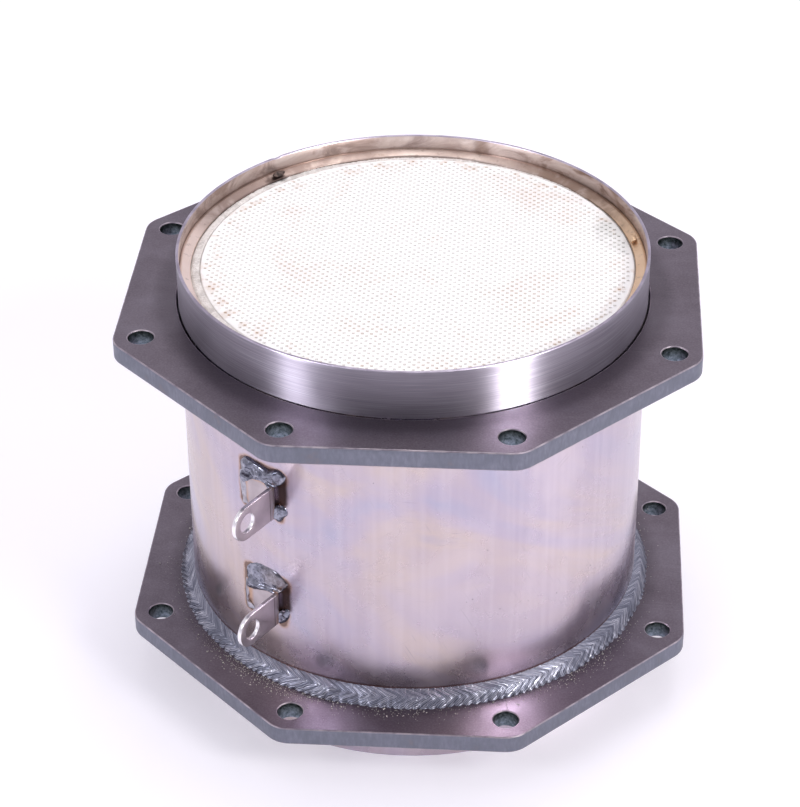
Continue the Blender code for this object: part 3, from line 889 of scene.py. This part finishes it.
def fillet_legs(clock, seed):
    """How far the fillet reaches up the can and out over the plate."""
    up = FILLET_LEG + 0.3 * MM * ring_ripple(clock, CAN_RADIUS / 9, seed + 3)
    out = FILLET_LEG + 0.7 * MM * ring_ripple(clock, CAN_RADIUS / 12, seed + 5)
    return up, out


def toe_scallops(clock, across, seed):
    """How far the ends of the ripples stand out past the toes: up the can, and outwards."""
    up_share = ripple_phase(clock, 0, seed) % 1
    out_share = ripple_phase(clock, 1, seed) % 1
    up = 0.25 * MM * up_share * (1 - across) ** 6
    out = 0.75 * MM * (sin(pi * out_share) - 0.5) * across ** 6
    return up, out


def make_fillet(side, face, direction, seed, columns, steps):
    """Rippled fillet in the corner between the can and a plate."""
    sink = 0.15 * MM

    def place(across, clock):
        if across is None:
            return can_point(clock, face - direction * sink, CAN_RADIUS - sink)
        up, out = fillet_legs(clock, seed)
        more_up, more_out = toe_scallops(clock, across, seed)
        ripples = fillet_height(clock, across, seed) * sin(pi * across) ** 0.7
        bulge = 0.7 * (0.75 * MM * sin(pi * across) + ripples)
        radius = CAN_RADIUS - sink + (out + sink) * across + bulge + more_out
        rise = (up + sink) * (1 - across) - sink + bulge + more_up
        return can_point(clock, face + direction * rise, radius)

    name = side + "_fillet_bead"
    mesh = turned(name, [step / steps for step in range(steps + 1)] + [None], columns, place)
    add_piece(name, mesh, ["fillet"], [side + "_flange_weld"], 70)


def smooth_loop(points, steps):
    """Closed Catmull-Rom curve through (clock, height) pairs."""
    loop = []
    count = len(points)
    for i in range(count):
        a, b, c, d = (np.array(points[(i + k) % count], dtype=float) for k in range(-1, 3))
        for step in range(steps):
            t = step / steps
            loop.append(0.5 * (
                2 * b + (c - a) * t + (2 * a - 5 * b + 4 * c - d) * t ** 2
                + (3 * b - a - 3 * c + d) * t ** 3
            ))
    return loop


def foot_top(clock, rise):
    """Height of the lug's foot over the can, smoothed off at its outline; rise from its middle."""
    along = radians(clock - LUG_CLOCK) * CAN_RADIUS
    inside = min(LUG_FOOT_REACH - along, along + LUG_OFFSET, LUG_WIDTH / 2 - abs(rise))
    share = min(1, max(0, inside / (1.6 * MM) + 0.5))
    return (LUG_THICKNESS + 0.2 * MM) * share * share * (3 - 2 * share)


# Outlines of the beads round the lugs, as (clock, millimetres above the lug's middle), and
# how far each bead stands up.
LUG_BEADS = {
    "upper": {
        "top": (2.7, ((41.4, 12.1), (39.6, 14.6), (35.8, 14), (32.8, 13.3), (29.9, 14.6),
                      (27.9, 13.2), (27.8, 11), (28.8, 8.2), (30.7, 6.6), (32.9, 7.2),
                      (36, 7.2), (37.9, 6.2), (38.9, 4.2), (40, 3.2), (41.2, 5.2),
                      (41.7, 9))),
        "end": (0.7, ((42.4, 6), (40, 6.4), (38.9, 2), (38.9, -4), (38.2, -8.2),
                      (39.4, -9.8), (41.3, -8.6), (42.4, -2))),
        "root": (1.8, ((28.1, -2.6), (29.5, -1.7), (30.7, -2.9), (31.3, -6), (31, -9.9),
                       (29.7, -10.4), (28.6, -7.8), (27.5, -5.4))),
    },
    "lower": {
        "top": (1.5, ((41.3, 12), (38.4, 15.9), (35.6, 16.9), (33.6, 16.9), (31.1, 16.2),
                      (28.6, 13.2), (28.1, 11.8), (29.1, 9), (30.8, 6.4), (33.3, 6.1),
                      (36, 4.8), (38.5, 3.2), (40.6, 3.2), (41.7, 7))),
        "end": (0.8, ((42, 5.2), (40.3, 4.8), (39.7, 0.7), (39.7, -3.5), (38, -5.6),
                      (38, -8.6), (39.7, -9.6), (42, -8), (42.3, -2.8))),
        "root": (1.7, ((30.6, -2.4), (28.6, -0.6), (27.9, -2.4), (28.2, -5), (29.4, -8),
                       (31.1, -9.8), (31.4, -6.4), (30.9, -3.6))),
    },
}


def lug_bead(name, outline, crown, height, seed, rings=16):
    """Lumpy weld metal within an outline on the can's wall and the lug's foot."""
    loop = smooth_loop(outline, 8)
    middle = sum(loop) / len(loop)
    rows = []
    for share in (ring / rings for ring in range(rings + 1)):
        swell = sqrt(max(0, 1 - share ** 2.6))
        row = []
        for clock, rise in (middle + (point - middle) * share for point in loop):
            x, y, z = can_point(clock, rise * MM) / MM
            lumps = 0.95 * ripple(x / 3.4, y / 3.4, z / 3.4 + seed)
            lumps += 0.40 * ripple(x / 1.4, y / 1.4, z / 1.4 + seed)
            lift = swell * (crown + (0.4 + 0.22 * crown) * lumps) * MM
            base = foot_top(clock, rise * MM) - 0.25 * MM * share
            row.append(can_point(clock, height + rise * MM, CAN_RADIUS + base + lift))
        rows.append(row)
    under = [can_point(clock, height + rise * MM, CAN_RADIUS - 0.4 * MM) for clock, rise in loop]
    return lattice(name, [*rows, under], close_rows=False)


def make_lug_welds(side, height):
    for part, (crown, outline) in LUG_BEADS[side].items():
        name = f"{side}_lug_{part}_bead"
        mesh = lug_bead(name, outline, crown, height, height / MM)
        finish = "flat_weld" if part == "end" else "lug_weld"
        add_piece(name, mesh, [finish], [f"{side}_lug_{part}_weld"])


def make_seam():
    """Flat, finely rippled butt weld down the can's back, outside."""
    low = PLATES["lower"][1].z + 6.5 * MM
    high = PLATES["upper"][0].z - 6.5 * MM
    width, crown, steps = 3 * MM, 0.55 * MM, 14
    columns = []
    for height in spread(low, high, 0.3 * MM):
        end = min(1, (min(height - low, high - height) + 0.2 * MM) / (1.5 * MM))
        wander = 0.25 * MM * ripple(height / (9 * MM), 4, 1)
        column = []
        for across in (2 * step / steps - 1 for step in range(steps + 1)):
            phase = (height + 0.8 * MM * across * across) / (1.1 * MM)
            rise = crown * (1 - across * across) * (0.75 + 0.25 * (phase % 1)) * end
            aside = across * width / 2 * (0.55 + 0.45 * end) + wander
            clock = SEAM_CLOCK + degrees(aside / CAN_RADIUS)
            surface = CAN_RADIUS + wall_wave(clock, height) + 0.02 * MM
            column.append(can_point(clock, height, surface + rise))
        column.append(can_point(SEAM_CLOCK, height, CAN_RADIUS - 0.4 * MM))
        columns.append(column)
    mesh = lattice("can_seam_bead", list(zip(*columns)), close_columns=False, caps=True)
    add_piece("can_seam_bead", mesh, ["seam"], ["can_seam_weld"], 70)


def make_spatter():
    """Small frozen drops on the lower plate round the fillet, densest at the front corners."""
    chance = random.Random(11)
    shape = bmesh.new()
    for middle, swing, count in SPATTER:
        for _ in range(count):
            clock = chance.gauss(middle, swing)
            reach = CAN_RADIUS + FILLET_LEG + 0.3 * MM + abs(chance.gauss(0, 3.6 * MM))
            size = chance.uniform(0.09, 0.24) * MM
            if chance.random() < 0.06:
                size *= 1.9
            place = can_point(clock, PLATES["lower"][1].z + 0.35 * size, reach)
            turn = Matrix.Rotation(chance.uniform(0, tau), 4, "Z")
            flat = Matrix.Diagonal((1, chance.uniform(0.7, 1), 0.75, 1))
            bmesh.ops.create_icosphere(
                shape, subdivisions=1, radius=size, matrix=Matrix.Translation(place) @ turn @ flat
            )
    add_piece("weld_spatter", mesh_of(shape, "weld_spatter"), ["spatter"])


def make_tacks():
    """Weld smears that run from the wall down each retaining ring; one on each is sooty."""
    for side, _, inwards in mouths(0):
        for number, clock in enumerate(TACK_CLOCKS, start=1):
            name = f"{side}_ring_tack_{number}"
            out, aside = clock_direction(clock), clock_tangent(clock)
            centre = sum(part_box(name), Vector()) / 2
            centre -= out * 1.2 * MM + UP * 1.7 * MM * inwards
            shape = bmesh.new()
            bmesh.ops.create_icosphere(shape, subdivisions=4, radius=1)
            for vertex in shape.verts:
                x, y, z = vertex.co
                lumps = 1 + 0.22 * noise.noise(vertex.co * 1.7 + Vector((clock, 0, 0)))
                swell = out * x * 1.5 + aside * y * 2.8 + UP * (z * 0.8 + x * 0.35) * inwards
                vertex.co = centre + swell * MM * lumps
            finish = "soot" if abs(clock - SOOT_CLOCK) < 5 else "ring"
            add_piece(name + "_drop", mesh_of(shape, name + "_drop"), [finish], [name])


# --- Lugs ---

BEND_INSIDE = 1.2 * MM
CUTTER_REACH = 40 * MM
LUG_OUT, LUG_ASIDE = clock_direction(LUG_CLOCK), clock_tangent(LUG_CLOCK)


def lug_arc(centre, radius, across, up, angles):
    """Points of an arc in the plane of two directions."""
    return [centre + (across * cos(angle) + up * sin(angle)) * radius for angle in angles]


def lug_plan(height):
    """Plan outline of the bent strip: foot round the can, bend, straight tab."""
    under = CAN_RADIUS + 0.2 * MM
    over = under + LUG_THICKNESS
    bend = BEND_INSIDE + LUG_THICKNESS
    tip = CAN_RADIUS + LUG_EYE_REACH + LUG_WIDTH / 2
    centre = LUG_OUT * (under + bend) + LUG_ASIDE * (bend - LUG_OFFSET)
    foot = spread(LUG_FOOT_REACH, bend - LUG_OFFSET, 1 * MM)[:-1]
    turns = spread(0, pi / 2, pi / 24)
    outline = [can_point(lug_clock(along), 0, under) for along in foot]
    outline += lug_arc(centre, bend, -LUG_OUT, -LUG_ASIDE, turns)
    outline.append(LUG_OUT * tip - LUG_ASIDE * LUG_OFFSET)
    outline.append(LUG_OUT * tip + LUG_ASIDE * (LUG_THICKNESS - LUG_OFFSET))
    outline += reversed(lug_arc(centre, BEND_INSIDE, -LUG_OUT, -LUG_ASIDE, turns))
    outline += [can_point(lug_clock(along), 0, over) for along in reversed(foot)]
    return [point + UP * height for point in outline]


def prism(name, outline, depth):
    """Object made of an outline pushed out by a depth, for the boolean cuts."""
    shape = bmesh.new()
    face = shape.faces.new([shape.verts.new(point) for point in outline])
    grown = bmesh.ops.extrude_face_region(shape, geom=[face])
    moved = [item for item in grown["geom"] if isinstance(item, bmesh.types.BMVert)]
    bmesh.ops.translate(shape, vec=depth, verts=moved)
    bmesh.ops.recalc_face_normals(shape, faces=shape.faces)
    guide = bpy.data.objects.new(name, mesh_of(shape, name))
    bpy.context.scene.collection.objects.link(guide)
    return guide


def evaluated_mesh(guide, *cutters):
    """Mesh of a guide with its modifiers applied; the guide and its cutters are removed."""
    bpy.context.view_layer.update()
    graph = bpy.context.evaluated_depsgraph_get()
    mesh = bpy.data.meshes.new_from_object(guide.evaluated_get(graph))
    for helper in (guide, *cutters):
        bpy.data.objects.remove(helper, do_unlink=True)
    return mesh


def make_lug(side, height):
    """Bent strip, trimmed to a round tab and drilled, with rounded edges."""
    half = LUG_WIDTH / 2
    strip = prism("strip", lug_plan(height - half), UP * LUG_WIDTH)
    start = UP * height - LUG_ASIDE * CUTTER_REACH
    eye_centre = LUG_OUT * (CAN_RADIUS + LUG_EYE_REACH) + start
    root = LUG_OUT * CAN_RADIUS + start
    inner = root - LUG_OUT * 30 * MM
    outline = [inner + UP * LUG_WIDTH, inner - UP * LUG_WIDTH, root - UP * LUG_WIDTH]
    outline.append(eye_centre - LUG_OUT * half - UP * half)
    outline += lug_arc(eye_centre, half, LUG_OUT, UP, spread(-pi / 2, pi / 2, pi / 28))
    outline += [eye_centre - LUG_OUT * half + UP * half, root + UP * LUG_WIDTH]
    round_eye = lug_arc(eye_centre, LUG_EYE, LUG_OUT, UP, spread(0, tau, tau / 48)[:-1])
    depth = LUG_ASIDE * 2 * CUTTER_REACH
    trim, eye = prism("trim", outline, depth), prism("eye", round_eye, depth)
    for cutter, operation in ((trim, "INTERSECT"), (eye, "DIFFERENCE")):
        cut = strip.modifiers.new(cutter.name, "BOOLEAN")
        cut.operation, cut.solver, cut.object = operation, "EXACT", cutter
    rounding = strip.modifiers.new("rounding", "BEVEL")
    rounding.width, rounding.segments = 0.28 * MM, 3
    rounding.limit_method, rounding.angle_limit = "ANGLE", radians(45)
    mesh = evaluated_mesh(strip, trim, eye)
    mesh.name = side + "_lug_strip"
    # Edges of the tab past the bend get the sheared finish, painted near white: bare cut metal, partly
    # a painted highlight.
    for face in mesh.polygons:
        on_tab = face.center.xy.length > CREASE_RADIUS
        face.material_index = int(on_tab and abs(face.normal.dot(LUG_ASIDE)) < 0.75)
    add_piece(mesh.name, mesh, ["strip", "sheared_and_highlight"], [side + "_lug"], 30)


# --- Honeycomb, rings and fibre ---

CELL_OPEN = 0.70  # a cell's inner width, as a share of the pitch
CELL_DEPTH = 1.2 * MM
PLUG_DIP = 0.14 * MM
SEAL_SHARES = (0, 0.12, 0.24, 0.36, 0.48, 0.60, 0.72, 0.84, 0.94, 1)
SEAL_COLLAR = 1.35 * MM  # how far the braid wells up between the block and the ring's lip


def cell_corners(shape, column, row, share, height):
    """Four new vertices at a cell's corners, drawn in by a share of its size."""
    centre = BLOCK_SHIFT + Vector((column, row, 0)) * CELL_PITCH + UP * height
    half = share * CELL_PITCH / 2
    signs = ((-1, -1), (1, -1), (1, 1), (-1, 1))
    return [shape.verts.new(centre + Vector((sx, sy, 0)) * half) for sx, sy in signs]


def rim_loop(shape, height, inset):
    """Loop of new vertices round the block, drawn in by what inset gives at a clock angle."""
    return [
        shape.verts.new(can_point(clock, height, BLOCK_RADIUS - inset(clock)) + BLOCK_SHIFT)
        for clock in clocks(360)
    ]


def honeycomb_face(face, inward, plugs_dip, chance):
    """Bmesh of one end: walls, deep open cells and, in between, plugged cells."""
    shape = bmesh.new()
    corners = {}

    def corner(column, row):
        if (column, row) not in corners:
            x = BLOCK_SHIFT.x + (column - 0.5) * CELL_PITCH
            y = (row - 0.5) * CELL_PITCH
            height = face + inward * 0.05 * MM * (1 + ripple(x / 0.004, y / 0.004, face / MM))
            corners[column, row] = shape.verts.new((x, y, height))
        return corners[column, row]

    def chip(clock):
        return (0.45 + 0.25 * max(0, ripple(clock / 3, face / MM, 5))) * MM

    count = int(BLOCK_RADIUS / CELL_PITCH) + 1
    for column in range(-count, count + 1):
        for row in range(-count, count + 1):
            reach = hypot(abs(column) + 0.5, abs(row) + 0.5) * CELL_PITCH
            if reach > BLOCK_RADIUS - 0.9 * MM:
                continue
            outer = [corner(column, row), corner(column + 1, row),
                     corner(column + 1, row + 1), corner(column, row + 1)]
            is_open = (column + row) % 2 == 0
            if not is_open and not plugs_dip:
                shape.faces.new(outer)
                continue
            size = CELL_OPEN * chance.uniform(0.94, 1.06)
            depth = 0.04 * MM if is_open else PLUG_DIP * chance.uniform(0.4, 1.6)
            lip = cell_corners(shape, column, row, size, face + inward * depth)
            belt(shape, outer, lip)
            if not is_open:
                shape.faces.new(lip)
                continue
            floor = cell_corners(shape, column, row, size * 0.92, face + inward * CELL_DEPTH)
            belt(shape, lip, floor, 1)
            shape.faces.new(floor).material_index = 2
    cell_edges = [edge for edge in shape.edges if len(edge.link_faces) == 1]
    ring = rim_loop(shape, face + inward * 0.08 * MM, chip)
    ring_edges = [shape.edges.new((ring[i - 1], ring[i])) for i in range(len(ring))]
    bmesh.ops.triangle_fill(shape, use_beauty=True, edges=cell_edges + ring_edges)
    for depth, inset in ((0.45, 0.12), (0.7, 0), (3, 0)):
        lower = rim_loop(shape, face + inward * depth * MM, lambda clock: inset * MM)
        belt(shape, ring, lower)
        ring = lower
    return shape


def make_honeycomb():
    """Both ends in one mesh, joined by the block's side."""
    chance = random.Random(5)
    top = mesh_of(honeycomb_face(BLOCK_HIGH.z, -1, True, chance), "top_end")
    shape = honeycomb_face(BLOCK_LOW.z, 1, False, chance)
    shape.from_mesh(top)
    bpy.data.meshes.remove(top)
    loose = [edge for edge in shape.edges if len(edge.link_faces) == 1]
    bmesh.ops.bridge_loops(shape, edges=loose)
    bmesh.ops.recalc_face_normals(shape, faces=shape.faces)
    mesh = mesh_of(shape, "honeycomb_block")
    finishes = ("ceramic", "cell_wall", "cell_floor")
    add_piece("honeycomb_block", mesh, finishes, ["ceramic_honeycomb"], 25)


def make_rings():
    """Dished retaining rings with a rolled inner lip, at both mouths."""
    depth = RING_HIGH.z - RING_LOW.z
    thickness, lip = 1.5 * MM, 0.75 * MM
    section = [(CAN_BORE - 0.1 * MM, -thickness), (CAN_BORE - 0.1 * MM, -0.2 * MM),
               (CAN_BORE - 0.5 * MM, 0), (CAN_BORE - 1.6 * MM, -0.12 * MM)]
    for angle in spread(pi / 2, 3 * pi / 2, pi / 8):
        section.append((RING_BORE + lip + lip * cos(angle), lip - depth + lip * sin(angle)))
    section.append((CAN_BORE - 2.2 * MM, -depth + 0.2 * MM))
    for side, face, direction in mouths(RING_HIGH.z):

        def place(level, clock):
            radius, rise = level
            wave = 0.12 * MM * ring_ripple(clock, CAN_RADIUS / 5, radius / (3 * MM))
            return can_point(clock, face + direction * (rise + wave), radius + 0.6 * wave)

        name = side + "_ring_dished"
        mesh = turned(name, section, 360, place)
        add_piece(name, mesh, ["ring"], [side + "_retaining_ring"], 60)


def make_seals():
    """Fibre braid between the block and the can, with an uneven, torn upper face."""
    levels = [(True, share) for share in SEAL_SHARES] + [(False, 1), (False, 0)]
    for side, face, direction in mouths(SEAL_HIGH.z):

        def place(level, clock):
            on_top, share = level
            toward = clock_direction(clock)
            inner = BLOCK_RADIUS + 0.15 * MM + BLOCK_SHIFT.x * toward.x
            radius = inner + (CAN_BORE - 0.1 * MM - inner) * share
            x, y, _ = toward * radius / MM
            rise = SEAL_LOW.z - SEAL_HIGH.z
            if on_top:
                inside = (RING_BORE + 0.15 * MM - radius) / (0.3 * MM)
                rise = SEAL_COLLAR * min(1, max(0, inside))
                torn = 0.55 * ripple(x / 1.1, y / 1.1, 2) + 0.35 * ripple(x / 0.45, y / 0.45, 6)
                rise += 0.6 * torn * MM * sin(pi * min(1, share + 0.1)) ** 0.5 - 0.2 * MM
            return can_point(clock, face + direction * rise, radius)

        name = side + "_fibre_seal"
        add_piece(name, turned(name, levels, 900, place), ["seal"], [side + "_edge_seal"])


# --- Everything ---

def make_finishes():
    cell_tones = ((0.96, 0.95, 0.93), (0.90, 0.83, 0.77), (0.74, 0.56, 0.42))
    return {
        "wall": cold_rolled_finish(),
        "collar": collar_finish(),
        "rim": plain_finish(
            "cut_rim", 1, (7, 4), ((0.35, (0.34, 0.30, 0.37)), (0.7, (0.53, 0.48, 0.575))),
            0.34, (0.6, 3, 0.02)),
        "inside": sooted_finish(),
        "plate": mill_scale_finish(),
        "cut_edge": cut_edge_finish(),
        "worn_edge": plain_finish(
            "rubbed_edge", 0.9, (5, 5), ((0.35, (0.24, 0.21, 0.25)), (0.68, (0.52, 0.46, 0.50))),
            0.4, (0.5, 3, 0.02)),
        "hole": hole_wall_finish(),
        "fillet": fillet_finish(),
        "seam": weld_metal_finish("seam_metal", (0.20, 0.19, 0.21), (0.56, 0.52, 0.55), 0.26),
        "lug_weld": weld_metal_finish(
            "lug_weld_metal", (0.085, 0.09, 0.125), (0.38, 0.385, 0.46), 0.15, 1.8),
        "flat_weld": weld_metal_finish(
            "flat_weld_metal", (0.30, 0.295, 0.34), (0.52, 0.505, 0.56), 0.28, 3),
        "spatter": weld_metal_finish("spatter_metal", (0.40, 0.38, 0.34), (0.80, 0.78, 0.72), 0.25),
        "soot": plain_finish(
            "sooty_tack", 0.5, (1.6, 4), ((0.35, (0.045, 0.032, 0.028)), (0.7, (0.2, 0.14, 0.12))),
            0.55, (0.8, 4, 0.1)),
        "strip": strip_finish(),
        # Sheared edges of the lugs' tabs, near white: bare cut metal, partly a painted highlight.
        "sheared_and_highlight": plain_finish(
            "sheared_edge", 1, (2, 3), ((0.35, (0.86, 0.83, 0.86)), (0.62, (0.98, 0.96, 0.98))),
            0.28, (0.5, 2, 0.02)),
        "ceramic": ceramic_finish(
            "ceramic_face", (0.97, 0.965, 0.95), (0.92, 0.88, 0.855), (0.82, 0.74, 0.68)),
        "cell_wall": ceramic_finish("ceramic_cell_wall", *cell_tones),
        "cell_floor": ceramic_finish("ceramic_cell_floor", *cell_tones),
        "ring": fired_ring_finish(),
        "seal": fibre_finish("braid_fibre", (0.66, 0.61, 0.57), (0.95, 0.92, 0.89)),
        "mat": fibre_finish("mat_fibre", (0.52, 0.49, 0.43), (0.84, 0.82, 0.76)),
    }


def make_object():
    add_can_strips(make_can())
    for side, height in LUG_HEIGHTS.items():
        make_plate(side)
        make_lug(side, height)
        make_lug_welds(side, height)
    make_fillet("lower", PLATES["lower"][1].z, 1, 0, 2900, 31)
    make_fillet("upper", PLATES["upper"][0].z, -1, 31, 1500, 14)
    make_seam()
    make_spatter()
    make_tacks()
    make_honeycomb()
    make_rings()
    make_seals()
    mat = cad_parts["support_mat"]
    mat.data.materials.clear()
    mat.data.materials.append(FINISHES["mat"])


bpy.context.scene.view_settings.view_transform = "Standard"
make_camera()
make_light()
make_floor()
FINISHES = make_finishes()
make_object()
